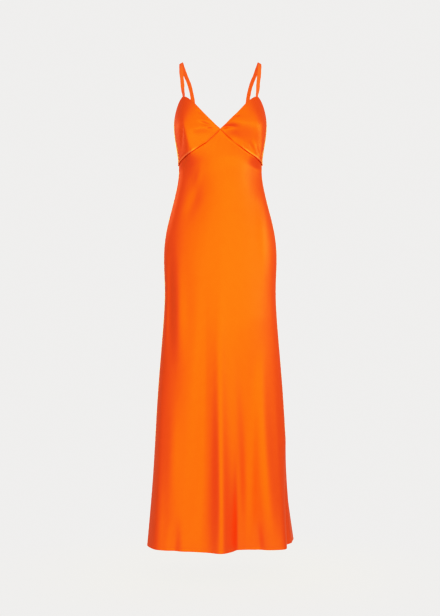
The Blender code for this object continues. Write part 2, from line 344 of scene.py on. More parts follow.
class GownStageSettings(bpy.types.PropertyGroup):
    """The studio: floor, light and camera"""

    backdrop_colour: colour_field(
        "Backdrop colour", "Colour of the backdrop and floor", (1.018, 0.995, 0.957), 2.0
    )
    camera_distance: length_field(
        "Camera distance", "From the camera to the middle of the gown", 4.3, 1.0, 20.0
    )
    picture_height: length_field("Picture height", "Height that the picture takes in", 1.8837, 0.5, 5.0)
    front_light: light_field("Front light", "Strength of the soft light from the front", 2.25, 10.0)
    back_light: light_field("Back light", "Strength of the soft light from elsewhere", 0.42, 10.0)
    front_softbox_power: light_field("Front softbox", "Watts of the wide softbox in front", 20.0, 500.0)
    side_softbox_power: light_field("Side softbox", "Watts of the softbox beside the hips", 9.0, 500.0)
    rim_softbox_power: light_field("Rim softbox", "Watts of the softbox for the bust's edge", 0.9, 500.0)
    back_softbox_power: light_field("Back softbox", "Watts of the softbox behind the gown", 60.0, 500.0)
    floor_tone: share_field("Floor tone", "How much of its light the floor gives back", 0.12)


# ---------------------------------------------------------------- form in numbers


def smooth_curve(knots, values):
    """A natural cubic spline through the knots, as a function of numbers or arrays."""
    knots, values = np.asarray(knots, float), np.asarray(values, float)
    gaps = np.diff(knots)
    slopes = np.diff(values) / gaps
    matrix = np.eye(len(knots))
    bends = np.zeros(len(knots))
    for i in range(1, len(knots) - 1):
        matrix[i, i - 1 : i + 2] = gaps[i - 1], 2 * (gaps[i - 1] + gaps[i]), gaps[i]
        bends[i] = 6 * (slopes[i] - slopes[i - 1])
    bends = np.linalg.solve(matrix, bends)

    def at(x):
        x = np.asarray(x, float)
        i = np.clip(np.searchsorted(knots, x) - 1, 0, len(gaps) - 1)
        after, before, gap = x - knots[i], knots[i + 1] - x, gaps[i]
        cubic = (bends[i] * before**3 + bends[i + 1] * after**3) / (6 * gap)
        start = (values[i] / gap - bends[i] * gap / 6) * before
        end = (values[i + 1] / gap - bends[i + 1] * gap / 6) * after
        return cubic + start + end

    return at


levels, *reaches = SECTIONS.T
half_width, front_depth, back_depth = (smooth_curve(levels, reach) for reach in reaches)
cup_seam = smooth_curve(*zip(*CUP_SEAM))
neckline = smooth_curve(*zip(*NECKLINE))
armhole = smooth_curve(*zip(*ARMHOLE))
back_edge = smooth_curve(*zip(*BACK_EDGE))


def bell(distance, spread):
    """1 at no distance, and easing off to 0 over a few spreads."""
    return np.exp(-0.5 * (distance / spread) ** 2)


def turn_between(angle, other):
    """The shortest turn from one angle to another, in degrees."""
    return (angle - other + 180.0) % 360.0 - 180.0


def cup_fullness(angle, below):
    """How far the two cups swell out past the body's sections."""
    spread = np.where(below < CUP_BELOW, CUP_SPREAD_UP, CUP_SPREAD_DOWN)
    across = sum(bell(turn_between(angle, side * CUP_ANGLE), CUP_SPREAD_ANGLE) for side in (-1, 1))
    return CUP_FULLNESS * across * bell(below - CUP_BELOW, spread)


def fold_depth(angle, below):
    """How far the folds of the skirt move it in or out."""
    depth = np.zeros_like(angle * below)
    for middle, spread, hem_depth, start in FOLDS:
        grown = np.clip((below - start) / (HEM_BELOW - start), 0.0, None) ** FOLD_GROWTH
        depth += hem_depth * grown * bell(turn_between(angle, middle), spread)
    return depth


def form_points(angle, below):
    """The outer face of the gown at angles and heights, as an array of points."""
    angle, below = np.broadcast_arrays(np.asarray(angle, float), np.asarray(below, float))
    across, ahead = np.sin(np.radians(angle)), np.cos(np.radians(angle))
    depth = np.where(ahead >= 0, front_depth(below), back_depth(below))
    reach = (np.abs(across) / half_width(below)) ** SQUARENESS + (np.abs(ahead) / depth) ** SQUARENESS
    radius = reach ** (-1 / SQUARENESS) + cup_fullness(angle, below) + fold_depth(angle, below)
    return np.stack((radius * across, -radius * ahead, -below), axis=-1)


def units(vectors):
    """The vectors' directions, each of length 1."""
    return vectors / np.maximum(np.linalg.norm(vectors, axis=-1, keepdims=True), 1e-12)


def cup_top(angle):
    """The neckline up to the strap, the strap's own width, then the armhole."""
    (inner, inner_below), (outer, outer_below) = NECKLINE[-1], ARMHOLE[0]
    straight = inner_below + (outer_below - inner_below) * (angle - inner) / (outer - inner)
    return np.where(angle <= inner, neckline(angle), np.where(angle >= outer, armhole(angle), straight))


# ---------------------------------------------------------------- cloth in numbers


def outward(points):
    """The direction out of a grid of points whose columns run left to right and rows run down."""
    return units(np.cross(np.gradient(points, axis=1), np.gradient(points, axis=0)))


def smooth_step(x):
    """An eased rise from 0 to 1."""
    x = np.clip(x, 0.0, 1.0)
    return x * x * (3.0 - 2.0 * x)


def crease_relief(across, below, creases):
    """How far the creases move each point of the cloth in or out."""
    relief = np.zeros_like(across)
    for x0, b0, x1, b1, x2, b2, width, end_width, depth, deepest in creases:
        t = np.linspace(0.0, 1.0, CREASE_STEPS + 1)[:, None]
        start, middle, end = np.array((x0, b0)), np.array((x1, b1)), np.array((x2, b2))
        bend = 2 * middle - (start + end) / 2
        line = (1 - t) ** 2 * start + 2 * t * (1 - t) * bend + t**2 * end
        room = CREASE_ROOM * max(width, end_width)
        low, high = line.min(axis=0) - room, line.max(axis=0) + room
        near = (across > low[0]) & (across < high[0]) & (below > low[1]) & (below < high[1])
        spots = np.stack((across[near], below[near]), axis=-1)
        closest = np.full(len(spots), np.inf)
        along = np.zeros(len(spots))
        for i in range(CREASE_STEPS):
            step = line[i + 1] - line[i]
            share = np.clip((spots - line[i]) @ step / np.dot(step, step), 0.0, 1.0)
            gap = np.linalg.norm(spots - line[i] - share[:, None] * step, axis=1)
            along = np.where(gap < closest, (i + share) / CREASE_STEPS, along)
            closest = np.minimum(closest, gap)
        rise = np.where(along < deepest, along / deepest, (1 - along) / (1 - deepest))
        spread = width + (end_width - width) * along
        relief[near] += depth * smooth_step(rise) * bell(closest, spread)
    return relief


def pucker_wave(along, pitch, seed):
    """An uneven ripple along a seam, between about -1 and 1: waves whose lengths never fall into step."""
    turn = 2 * math.pi * along / pitch
    slow = 0.6 + 0.4 * np.sin(turn / 5.3 + seed)
    return slow * (0.6 * np.sin(turn + seed) + 0.4 * np.sin(turn * 1.618 + 2.1 * seed))


def rows_between(tops, bottoms, near_top, near_bottom, count, growth):
    """Heights down each column: close rows by both edges, and even steps that grow between them."""
    tops, bottoms = np.asarray(tops)[:, None], np.asarray(bottoms)[:, None]
    first = tops + np.asarray(near_top)
    last = bottoms - np.asarray(near_bottom)[::-1]
    shares = (np.arange(1, count) / count) ** growth
    between = first[:, -1:] + (last[:, :1] - first[:, -1:]) * shares
    return np.concatenate((first, between, last), axis=1)


def distances(points, axis=0):
    """How far along a row each of its points lies."""
    first = np.take(points, [0], axis=axis)
    steps = np.linalg.norm(np.diff(points, axis=axis, prepend=first), axis=-1)
    return np.cumsum(steps, axis=axis)


def quads_between(index, following):
    """The faces between each row of point numbers and the next."""
    return np.stack((index[:-1], following[:-1], following[1:], index[1:]), axis=-1).reshape(-1, 4)


def lay_flat(mesh, flats):
    """Gives every point of a mesh its place on the flat cloth, as a UV map in metres."""
    corners = np.empty(len(mesh.loops), np.int32)
    mesh.loops.foreach_get("vertex_index", corners)
    mesh.uv_layers.new(name="cloth").data.foreach_set("uv", flats.reshape(-1, 2)[corners].ravel())


RIM_STEPS = 4  # flats round the half circle of an edge
SHARP_EDGE = math.radians(60.0)


def round_loops(front, back):
    """Values for the points of every loop: down the front, under it, up the back and over the top."""
    below = np.repeat(front[:, -1:], RIM_STEPS - 1, axis=1)
    above = np.repeat(front[:, :1], RIM_STEPS - 1, axis=1)
    return np.concatenate((front, below, back, above), axis=1)


def cloth_mesh(name, outer, walls, pressed=None):
    """A closed wall of cloth behind a grid of outer points, with rounded top and bottom edges.

    Material 0 goes on the outer face and the edges, and material 1 on the inner face.
    The UV map holds metres along the cloth, so a weave keeps its size. Where a highlight
    is painted along an edge, a point attribute holds how strong it is.
    """
    columns, rows = outer.shape[:2]
    normals = outward(outer)
    half = walls[..., None] / 2
    up = units(outer[:, 0] - outer[:, 1])
    down = units(outer[:, -1] - outer[:, -2])
    outer = outer.copy()
    outer[:, 0] -= up * half[:, 0]
    outer[:, -1] -= down * half[:, -1]
    inner = outer - normals * walls[..., None]

    def rounded(row, away):
        turns = np.pi * np.arange(1, RIM_STEPS) / RIM_STEPS
        middle = (outer[:, row] + inner[:, row]) / 2
        lift = normals[:, row, None] * np.cos(turns)[:, None] + away[:, None] * np.sin(turns)[:, None]
        return middle[:, None] + lift * half[:, row, None]

    bottom_rim, top_rim = rounded(-1, down), rounded(0, up)[:, ::-1]
    loops = np.concatenate((outer, bottom_rim, inner[:, ::-1], top_rim), axis=1)
    around = loops.shape[1]
    across = distances(outer)
    flat = np.stack((across - across[columns // 2], -distances(outer, axis=1)), axis=-1)

    index = np.arange(columns * around).reshape(columns, around)
    faces = quads_between(index, np.roll(index, -1, axis=1))
    side = np.arange(around)
    on_inner = (side >= rows + RIM_STEPS - 1) & (side < 2 * rows + RIM_STEPS - 2)
    which = np.tile(on_inner, columns - 1).astype(np.int32)

    back = index[:, rows + RIM_STEPS - 1 : 2 * rows + RIM_STEPS - 1][:, ::-1]
    ends = []
    for column, way in ((0, 1), (columns - 1, -1)):
        front_row, back_row = index[column, :rows], back[column]
        strip = np.stack((front_row[:-1], back_row[:-1], back_row[1:], front_row[1:]), axis=-1)[:, ::way]
        ends.append(strip)
        for row, first in ((rows - 1, rows), (0, 2 * rows + RIM_STEPS - 1)):
            rim_points = index[column, first : first + RIM_STEPS - 1]
            corner = [front_row[-1], *rim_points, back_row[-1]]
            if row == 0:
                corner = [back_row[0], *rim_points, front_row[0]]
            ends.append([corner[::-way]])

    mesh = bpy.data.meshes.new(name)
    all_faces = faces.tolist()
    for end in ends:
        all_faces += [list(map(int, face)) for face in end]
    mesh.from_pydata(loops.reshape(-1, 3).tolist(), [], all_faces)
    extra = len(all_faces) - len(faces)
    mesh.polygons.foreach_set("material_index", np.concatenate((which, np.zeros(extra, np.int32))))
    lay_flat(mesh, round_loops(flat, flat[:, ::-1]))
    # Painted highlight: the attribute tells the satin where to mix in a lighter orange
    if pressed is not None:
        attribute = mesh.attributes.new("pressed", "FLOAT", "POINT")
        attribute.data.foreach_set("value", round_loops(pressed, 0 * pressed).ravel())
    mesh.shade_smooth()
    mesh.set_sharp_from_angle(angle=SHARP_EDGE)
    mesh.validate()
    return mesh


def add_piece(name, mesh, materials, node=None):
    """A finished piece of the gown, which rides on the gown and stands for its solid."""
    piece = bpy.data.objects.new(name, mesh)
    bpy.context.scene.collection.objects.link(piece)
    for material in materials:
        mesh.materials.append(material)
    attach(piece, "root")
    if node:
        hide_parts(node)
    return piece


# ---------------------------------------------------------------- materials

PAINTED_SHEEN_COLOUR = (1.0, 0.16, 0.07, 1.0)  # painted highlight: a lighter orange along the cups' lower edge, standing in for the light that the lip catches
DULL_METALLIC = 0.3  # satin up to this metallic is treated as the dull reverse
BIAS = (0.0, 0.0, math.radians(45.0))


def add_node(tree, kind, inputs=None, **settings):
    """A new node, with its settings and the values of its inputs."""
    made = tree.nodes.new(kind)
    for name, value in settings.items():
        setattr(made, name, value)
    for name, value in (inputs or {}).items():
        made.inputs[name].default_value = value
    return made


def join(tree, *wires):
    """Links, each from a node's output to another node's input."""
    for giver, output, taker, entry in wires:
        tree.links.new(giver.outputs[output], taker.inputs[entry])


def new_material(name, inputs):
    """A material with its node tree and its shader, whose inputs have these values."""
    made = bpy.data.materials.new(name)
    made.use_nodes = True
    shader = made.node_tree.nodes["Principled BSDF"]
    for entry, value in inputs.items():
        shader.inputs[entry].default_value = value
    return made, made.node_tree, shader


def opaque(colour, strength=1.0):
    """A colour, made stronger or weaker, with its alpha."""
    return (*[strength * c for c in colour], 1.0)


def shades(colour, darker, lighter):
    """The two ends of a mix of shades of one colour."""
    return {"A": opaque(colour, darker), "B": [min(1.0, c) for c in opaque(colour, lighter)]}


def satin_material(cloth, name, colour, roughness, metallic):
    """Satin with fine bias lines, soft uneven sheen and faint slubs: its shiny face or its dull reverse."""
    made = bpy.data.materials.get(name)
    if made:
        return made
    shiny = metallic > DULL_METALLIC
    made, tree, shader = new_material(
        name,
        {
            "Metallic": metallic,
            "Sheen Weight": 0.03 if shiny else 0.10,
            "Sheen Roughness": 0.45,
            "Sheen Tint": (1.0, 0.62, 0.45, 1.0),
            "Specular IOR Level": 0.25,
            "Specular Tint": (1.0, 0.52, 0.12, 1.0),
            "Anisotropic": 0.30 if shiny else 0.0,
            "Anisotropic Rotation": 0.125,
        },
    )
    place = add_node(tree, "ShaderNodeUVMap", uv_map="cloth")
    tangent = add_node(tree, "ShaderNodeTangent", direction_type="UV_MAP", uv_map="cloth")
    bias = add_node(tree, "ShaderNodeMapping", {"Rotation": BIAS})
    thread = {
        "Scale": 0.314 / cloth.thread_pitch,  # a wave is 0.314 of its scale long
        "Distortion": 1.2,
        "Detail": 1.0,
        "Detail Scale": 2.0,
    }
    weave = add_node(tree, "ShaderNodeTexWave", thread, wave_type="BANDS", bands_direction="X")
    stretched = add_node(tree, "ShaderNodeMapping", {"Rotation": BIAS, "Scale": (60.0, 420.0, 1.0)})
    slubs = add_node(tree, "ShaderNodeTexNoise", {"Scale": 1.0, "Detail": 3.0})
    mottle = add_node(tree, "ShaderNodeTexNoise", {"Scale": 38.0, "Detail": 3.0, "Roughness": 0.55})
    tone = add_node(tree, "ShaderNodeMix", shades(colour, 0.93, 1.05), data_type="RGBA")
    # Painted highlight: where the point attribute is high, on the cups' lower edge, the colour is mixed
    # towards a lighter orange
    pressed = add_node(tree, "ShaderNodeAttribute", attribute_name="pressed")
    lit_edge = add_node(tree, "ShaderNodeMix", {"B": PAINTED_SHEEN_COLOUR}, data_type="RGBA")
    uneven = add_node(tree, "ShaderNodeMapRange", {"To Min": roughness - 0.05, "To Max": roughness + 0.06})
    fine = add_node(tree, "ShaderNodeBump", {"Strength": 0.25, "Distance": 0.00005})
    soft = add_node(tree, "ShaderNodeBump", {"Strength": 0.35, "Distance": 0.0008})
    join(
        tree,
        (tangent, "Tangent", shader, "Tangent"),
        (place, "UV", bias, "Vector"),
        (bias, "Vector", weave, "Vector"),
        (place, "UV", stretched, "Vector"),
        (stretched, "Vector", slubs, "Vector"),
        (place, "UV", mottle, "Vector"),
        (mottle, "Fac", tone, "Factor"),
        (pressed, "Fac", lit_edge, "Factor"),
        (tone, "Result", lit_edge, "A"),
        (lit_edge, "Result", shader, "Base Color"),
        (slubs, "Fac", uneven, "Value"),
        (uneven, "Result", shader, "Roughness"),
        (mottle, "Fac", soft, "Height"),
        (weave, "Fac", fine, "Height"),
        (soft, "Normal", fine, "Normal"),
        (fine, "Normal", shader, "Normal"),
    )
    return made


def satin_pair():
    """The shiny face and the dull reverse, in the order that a cloth mesh uses them."""
    cloth = bpy.context.scene.gown_cloth
    face = satin_material(cloth, "satin_face", cloth.satin_colour, cloth.roughness, metallic=0.75)
    reverse = satin_material(cloth, "satin_reverse", cloth.reverse_colour, roughness=0.62, metallic=0.15)
    return face, reverse


def strap_satin():
    """The straps' face, on a narrow tube laid flat: softer, with more roughness and less metal, and paler
    in colour, as painted sheen that also lightens its shaded underside.
    """
    cloth = bpy.context.scene.gown_cloth
    return satin_material(cloth, "strap_satin", cloth.strap_colour, roughness=0.50, metallic=0.40)


def thread_material():
    """Sewing thread, with fine fibres."""
    made = bpy.data.materials.get("sewing_thread")
    if made:
        return made
    made, tree, shader = new_material("sewing_thread", {"Roughness": 0.5})
    colour = bpy.context.scene.gown_sewing.thread_colour
    place = add_node(tree, "ShaderNodeTexCoord")
    fibres = add_node(tree, "ShaderNodeTexNoise", {"Scale": 2500.0})
    tone = add_node(tree, "ShaderNodeMix", shades(colour, 0.8, 1.1), data_type="RGBA")
    join(
        tree,
        (place, "Object", fibres, "Vector"),
        (fibres, "Fac", tone, "Factor"),
        (tone, "Result", shader, "Base Color"),
    )
    return made


# ---------------------------------------------------------------- panels

# Distances of the close rows from an edge
EDGE_ROWS = (0.0, 0.0008, 0.0018, 0.003, 0.0045, 0.0065, 0.009, 0.012)
HEM_ROWS = (0.0, 0.0008, 0.0025, 0.0050, 0.0070, 0.0080, 0.0090, 0.0105, 0.013, 0.017)
HEM_STITCH_ROW = -6  # counts back to the row that lies the hem's turn above the edge
STITCH_LIFT = 0.2  # of the thread's thickness

PANEL_COLUMNS = 200
PANEL_ROWS = 205
PANEL_ROW_GROWTH = 1.22  # over 1, the rows lie closer together near the top
CUP_COLUMNS = 130
CUP_COLUMN_GROWTH = 1.12  # over 1, the columns lie closer together near the V
CUP_ROWS = 52
CUP_START_ANGLE = 0.6  # the two cups end a little short of each other at the V
CUP_FULL_ROWS = 0.045  # where a cup is less high than this, its close rows draw together
CUP_LEAST_ROWS = 0.02  # the narrowest share of their distances
CUP_ROOM = 0.03  # where a cup is less high than this, the shapes along its edges fade out

SEAM_REACH = 0.0022
SEAM_PITCH = 0.019
PUCKER_PLACE = 0.005
PUCKER_REACH = 0.006875
# Where each edge's ripples start: another number gives other ripples of the same kind
SIDE_SEED = 0.7
CUP_SEAM_SEED = 1.9
FRONT_HEM_SEED = 0.4
BACK_HEM_SEED = 2.3
# The ripples along the seam under the cups: their share at the V, and how much more there is at the side
PANEL_RIPPLE_SHARE = (0.6, 1.0)
CUP_RIPPLE_SHARE = (0.5, 1.3)
CUP_SEAM_TUCK = 1.6  # the seam under the cups rolls in further than the side seams
PANEL_LIP_DROP = 0.0016  # how far the front lies back where a cup's edge stands over it

# Shapes along an edge: distance from it, reach and height, where a groove is negative
HEM_GROOVE = (HEM_TURN, 0.0009, -0.0003)
HEM_RIPPLE = (HEM_TURN / 2, 0.003, 0.00022)
HEM_RIPPLE_PITCH = 0.016
HEM_RIPPLE_SLANT = 0.7
CUP_SWELL = (0.008, 0.0060, 0.0010)
CUP_LIP = (0.0010, 0.0022, 0.0018)
CUP_RIPPLE = (0.006, 0.006, 1.0)
CUP_RIPPLE_PITCH = 0.017
# the band of highlight painted along a cup's lower edge: distance from the seam, reach and strength
CUP_PAINTED_SHEEN = (0.0020, 0.0020, 1.0)
NECK_ROLL = (0.0018, 0.0013, 0.0004)
NECK_GROOVE = (0.0055, 0.0011, -0.0003)

# How far round a cup its lip begins and is full, and where the highlight painted on that lip begins and is
# full, in degrees
LIP_ANGLES = (13.0, 26.0)
PAINTED_SHEEN_ANGLES = (30.0, 42.0)
CREASELESS_ANGLES = (2.0, 18.0)  # from a side seam, where creases begin and are full

TOP_TURN = (0.007, 0.002)  # how deep a top edge is turned in, and over how much it thins out
HEM_THINNING = 0.0015


def edge_walls(shape, from_top, from_bottom, turned_top, cloth):
    """Thickness of the cloth everywhere: more where its edges are turned in."""
    walls = np.full(shape, cloth.wall)
    extra = cloth.turned_edge - cloth.wall
    if turned_top:
        walls += extra * smooth_step((TOP_TURN[0] - from_top) / TOP_TURN[1])
    walls += extra * smooth_step((cloth.hem_turn - from_bottom) / HEM_THINNING)
    return walls


def band(away, place, reach, height):
    """A raised or sunken band along an edge."""
    return height * bell(away - place, reach)


def between_angles(angles, limits):
    """An eased rise from 0 at the first angle to 1 at the second."""
    return smooth_step((angles - limits[0]) / (limits[1] - limits[0]))


def from_side(angles):
    """Degrees from each angle to the nearer side seam."""
    return np.abs(90.0 - np.abs(turn_between(angles, 0.0)))


def shifted_angles(angles, below):
    """The angle grid, with columns on a side seam moved half of the seam's gap away from it."""
    grid = np.repeat(angles[:, None], below.shape[1], axis=1)
    middle = (angles[0] + angles[-1]) / 2
    for column in (0, -1):
        if from_side(angles[column]) < 1e-6:
            radius = np.linalg.norm(form_points(angles[column], below[column])[:, :2], axis=1)
            way = 1.0 if middle > angles[column] else -1.0
            grid[column] += way * np.degrees(SEAM_GAP / 2 / radius)
    return grid


def clear_of_sides(angles):
    """1 over most of a panel, and 0 at its side seams, so that the panels still meet there."""
    return between_angles(from_side(angles), CREASELESS_ANGLES)


def lip_share(angles):
    """How far the cup's edge stands over the panel below it: not at the V, and fully towards the side."""
    return between_angles(np.abs(angles), LIP_ANGLES)[:, None]


def seam_relief(away, along, seed, tuck, pucker):
    """The cloth rolls in at a seam, and ripples a little beside it."""
    ripple = pucker * bell(away - PUCKER_PLACE, PUCKER_REACH) * pucker_wave(along, SEAM_PITCH, seed)
    return ripple - tuck * bell(away, SEAM_REACH)


def side_seam_relief(angles, below, points, sewing):
    """What the side seams do to the cloth beside them."""
    radius = np.linalg.norm(points[..., :2], axis=-1)
    away = np.radians(from_side(angles)) * radius
    return seam_relief(away, below, SIDE_SEED, sewing.seam_tuck, sewing.pucker)


def hem_relief(from_hem, along, seed):
    """A stitched groove above the narrow hem, and the slanting ripples of a hem sewn on the bias."""
    wave = pucker_wave(along + HEM_RIPPLE_SLANT * from_hem, HEM_RIPPLE_PITCH, seed)
    return band(from_hem, *HEM_GROOVE) + band(from_hem, *HEM_RIPPLE) * wave


def seam_ripples(lip, shares):
    """How strong the ripples are along the seam under the cups, as a share of the pucker."""
    return shares[0] + shares[1] * lip


def laid(points, relief):
    """The points moved along the cloth's normal."""
    return points + outward(points) * relief[..., None]


def panel_form(angles, tops):
    """A panel's angles, heights and points, and how far each lies from its top edge and the hem."""
    hem = np.full_like(tops, HEM_BELOW)
    below = rows_between(tops, hem, EDGE_ROWS, HEM_ROWS, PANEL_ROWS, PANEL_ROW_GROWTH)
    turned = shifted_angles(angles, below)
    return turned, below, form_points(turned, below), below - tops[:, None], HEM_BELOW - below


def front_panel_grid(sewing):
    """The front's outer points, and how far each lies from its top edge and from the hem."""
    angles = np.linspace(-90.0, 90.0, PANEL_COLUMNS + 1)
    tops = cup_seam(np.abs(angles)) + CUP_SEAM_GAP / 2
    turned, below, points, from_top, from_hem = panel_form(angles, tops)
    across = points[..., 0]
    points[..., 1] -= crease_relief(across, below, FRONT_CREASES + BUST_FORM) * clear_of_sides(turned)
    lip = lip_share(angles)
    tuck = CUP_SEAM_TUCK * sewing.seam_tuck
    pucker = sewing.pucker * seam_ripples(lip, PANEL_RIPPLE_SHARE)
    relief = side_seam_relief(turned, below, points, sewing)
    relief += seam_relief(from_top, across, CUP_SEAM_SEED, tuck, pucker)
    relief -= PANEL_LIP_DROP * lip * bell(from_top, SEAM_REACH)
    relief += hem_relief(from_hem, across, FRONT_HEM_SEED)
    return laid(points, relief), from_top, from_hem


def back_panel_grid(sewing):
    """The back's outer points, and how far each lies from its top edge and from the hem."""
    angles = np.linspace(90.0, 270.0, PANEL_COLUMNS + 1)
    tops = back_edge(180.0 - np.abs(180.0 - angles))
    turned, below, points, from_top, from_hem = panel_form(angles, tops)
    across = points[..., 0]
    points[..., 1] += crease_relief(across, below, BACK_CREASES) * clear_of_sides(turned)
    relief = side_seam_relief(turned, below, points, sewing)
    relief += hem_relief(from_hem, across, BACK_HEM_SEED)
    return laid(points, relief), from_top, from_hem


def cup_grid(side, creases, sewing):
    """A cup's outer points, how far each lies from its top and from its seam, and how strong the highlight
    painted on it is.
    """
    spread = np.linspace(0.0, 1.0, CUP_COLUMNS + 1) ** CUP_COLUMN_GROWTH
    angles = np.sort(side * (CUP_START_ANGLE + (90.0 - CUP_START_ANGLE) * spread))
    tops = cup_top(np.abs(angles))
    bottoms = cup_seam(np.abs(angles)) - CUP_SEAM_GAP / 2
    height = (bottoms - tops)[:, None]
    close = np.array(EDGE_ROWS) * np.clip(height / CUP_FULL_ROWS, CUP_LEAST_ROWS, 1.0)
    between = close[:, -1:] + np.arange(1, CUP_ROWS) / CUP_ROWS * (height - 2 * close[:, -1:])
    below = tops[:, None] + np.concatenate((close, between, height - close[:, ::-1]), axis=1)
    turned = shifted_angles(angles, below)
    points = form_points(turned, below)
    from_top, from_seam = below - tops[:, None], bottoms[:, None] - below
    across = points[..., 0]
    points[..., 1] -= crease_relief(across, below, BUST_FORM) * clear_of_sides(turned)
    lip = lip_share(angles)
    ripple = sewing.pucker * seam_ripples(lip, CUP_RIPPLE_SHARE) * band(from_seam, *CUP_RIPPLE)
    edge = ripple * pucker_wave(across, CUP_RIPPLE_PITCH, CUP_SEAM_SEED + side)
    edge += lip * (band(from_seam, *CUP_SWELL) + band(from_seam, *CUP_LIP))
    edge -= CUP_SEAM_TUCK * sewing.seam_tuck * (1 - lip) * bell(from_seam, SEAM_REACH)
    edge += band(from_top, *NECK_ROLL) + band(from_top, *NECK_GROOVE)
    relief = crease_relief(across, below, creases)
    relief += side_seam_relief(turned, below, points, sewing)
    relief += smooth_step(height / CUP_ROOM) * edge
    # A highlight is painted along the lip, in a lighter orange that fades in round the cup
    pressed = between_angles(np.abs(angles), PAINTED_SHEEN_ANGLES)[:, None] * band(from_seam, *CUP_PAINTED_SHEEN)
    return laid(points, relief), from_top, from_seam, pressed


# ---------------------------------------------------------------- straps

STRAP_STATIONS = 200
STRAP_SIDES = 28
STRAP_CLOTH = 0.0004
STRAP_FLATNESS = (0.62, 0.8)  # powers that square the oval across its width and its thickness
STRAP_WAVER = ((0.00018, 0.043), (0.00012, 0.017))  # how much the width wavers, and how often
STRAP_SHARP_EDGE = math.radians(70.0)
NEARBY_ANGLE = 0.5  # steps to either side of a spot, to find how the cloth faces there
NEARBY_BELOW = 0.0005


def strap_line():
    """Evenly spaced points along the middle of the wearer's left strap, front end first."""

    def behind(angle, below):
        steps = np.array((-1.0, 0.0, 1.0))
        spot = form_points(angle + NEARBY_ANGLE * steps[:, None], below + NEARBY_BELOW * steps)
        out = units(np.cross(spot[1, 2] - spot[1, 0], spot[2, 1] - spot[0, 1]))
        return spot[1, 1] - STRAP_BEHIND * out

    front, back = float(cup_top(STRAP_FRONT_ANGLE)), float(back_edge(STRAP_BACK_ANGLE))
    tucks = (STRAP_TUCK, STRAP_TUCK / 2, 0.0)
    knots = [behind(STRAP_FRONT_ANGLE, front + tuck) for tuck in tucks]
    knots += [np.array(point) for point in STRAP_LINE]
    knots += [behind(STRAP_BACK_ANGLE, back + tuck) for tuck in reversed(tucks)]
    knots = np.array(knots)
    along = distances(knots)
    stations = np.linspace(0.0, along[-1], STRAP_STATIONS)
    return np.stack([smooth_curve(along, knots[:, i])(stations) for i in range(3)], axis=-1)


def strap_widths(line):
    """The direction across the strap at each point of its line, towards its outer edge."""

    def along_form(angle, below):
        before, after = form_points(angle + NEARBY_ANGLE * np.array((-1.0, 1.0)), below)
        return units(after - before)

    slope = math.radians(SHOULDER_SLOPE)
    on_shoulder = np.array((math.cos(slope), 0.0, -math.sin(slope)))
    on_front = along_form(STRAP_FRONT_ANGLE, float(cup_top(STRAP_FRONT_ANGLE)))
    on_back = -along_form(STRAP_BACK_ANGLE, float(back_edge(STRAP_BACK_ANGLE)))
    spacing = np.linalg.norm(line[1] - line[0])
    stations = np.arange(len(line)) * spacing
    front = 1.0 - smooth_step((stations - STRAP_TUCK) / STRAP_TURN)
    back = 1.0 - smooth_step((stations[::-1] - STRAP_TUCK) / STRAP_TURN)
    wanted = front[:, None] * on_front + back[:, None] * on_back
    wanted += (1.0 - front - back)[:, None] * on_shoulder
    forward = units(np.gradient(line, axis=0))
    return units(wanted - forward * (wanted * forward).sum(axis=1)[:, None])


def strap_mesh(name, side):
    """A turned-through tube of satin, flattened: an outer oval and an inner one, open at its ends."""
    line = strap_line()
    width = strap_widths(line)
    forward = units(np.gradient(line, axis=0))
    out = np.cross(forward, width)
    turns = 2 * np.pi * np.arange(STRAP_SIDES) / STRAP_SIDES
    along = distances(line)

    def oval(half_w, half_t):
        """A flat oval, round at its edges and a little crowned across its width."""
        across = np.sign(np.cos(turns)) * np.abs(np.cos(turns)) ** STRAP_FLATNESS[0] * half_w
        thick = np.sign(np.sin(turns)) * np.abs(np.sin(turns)) ** STRAP_FLATNESS[1] * half_t
        return across, thick

    (slow, slow_pitch), (quick, quick_pitch) = STRAP_WAVER
    waver = slow * np.sin(2 * np.pi * along / slow_pitch + side)
    waver += quick * np.sin(2 * np.pi * along / quick_pitch)
    shells = []
    for half_w, half_t in (
        (STRAP_WIDTH / 2, STRAP_THICKNESS / 2),
        (STRAP_WIDTH / 2 - STRAP_CLOTH, STRAP_THICKNESS / 2 - STRAP_CLOTH),
    ):
        across, thick = oval(half_w, half_t)
        wide = across[None] * (1.0 + waver[:, None] / half_w)
        shell = line[:, None] + width[:, None] * wide[..., None] + out[:, None] * thick[None, :, None]
        shells.append(shell)
    outer, inner = shells
    points = np.concatenate((outer, inner)) * np.array((side, 1.0, 1.0))
    index = np.arange(2 * STRAP_STATIONS * STRAP_SIDES).reshape(2, STRAP_STATIONS, STRAP_SIDES)
    following = np.roll(index, -1, axis=2)
    faces = []
    for shell, way in ((0, 1), (1, -1)):
        quads = (index[shell, :-1], index[shell, 1:], following[shell, 1:], following[shell, :-1])
        faces += np.stack(quads, axis=-1).reshape(-1, 4)[:, ::way].tolist()
    for station, way in ((0, 1), (-1, -1)):
        quads = (index[0, station], following[0, station], following[1, station], index[1, station])
        faces += np.stack(quads, axis=-1)[:, ::way].tolist()
    if side > 0:
        faces = [face[::-1] for face in faces]
    mesh = bpy.data.meshes.new(name)
    mesh.from_pydata(points.reshape(-1, 3).tolist(), [], faces)
    around = STRAP_WIDTH * np.abs(2 * np.arange(STRAP_SIDES) / STRAP_SIDES - 1.0)
    flat = np.stack(np.broadcast_arrays(around[None], -along[:, None]), axis=-1)
    lay_flat(mesh, np.concatenate((flat, flat)))
    mesh.shade_smooth()
    mesh.set_sharp_from_angle(angle=STRAP_SHARP_EDGE)
    return mesh


# ---------------------------------------------------------------- stitches


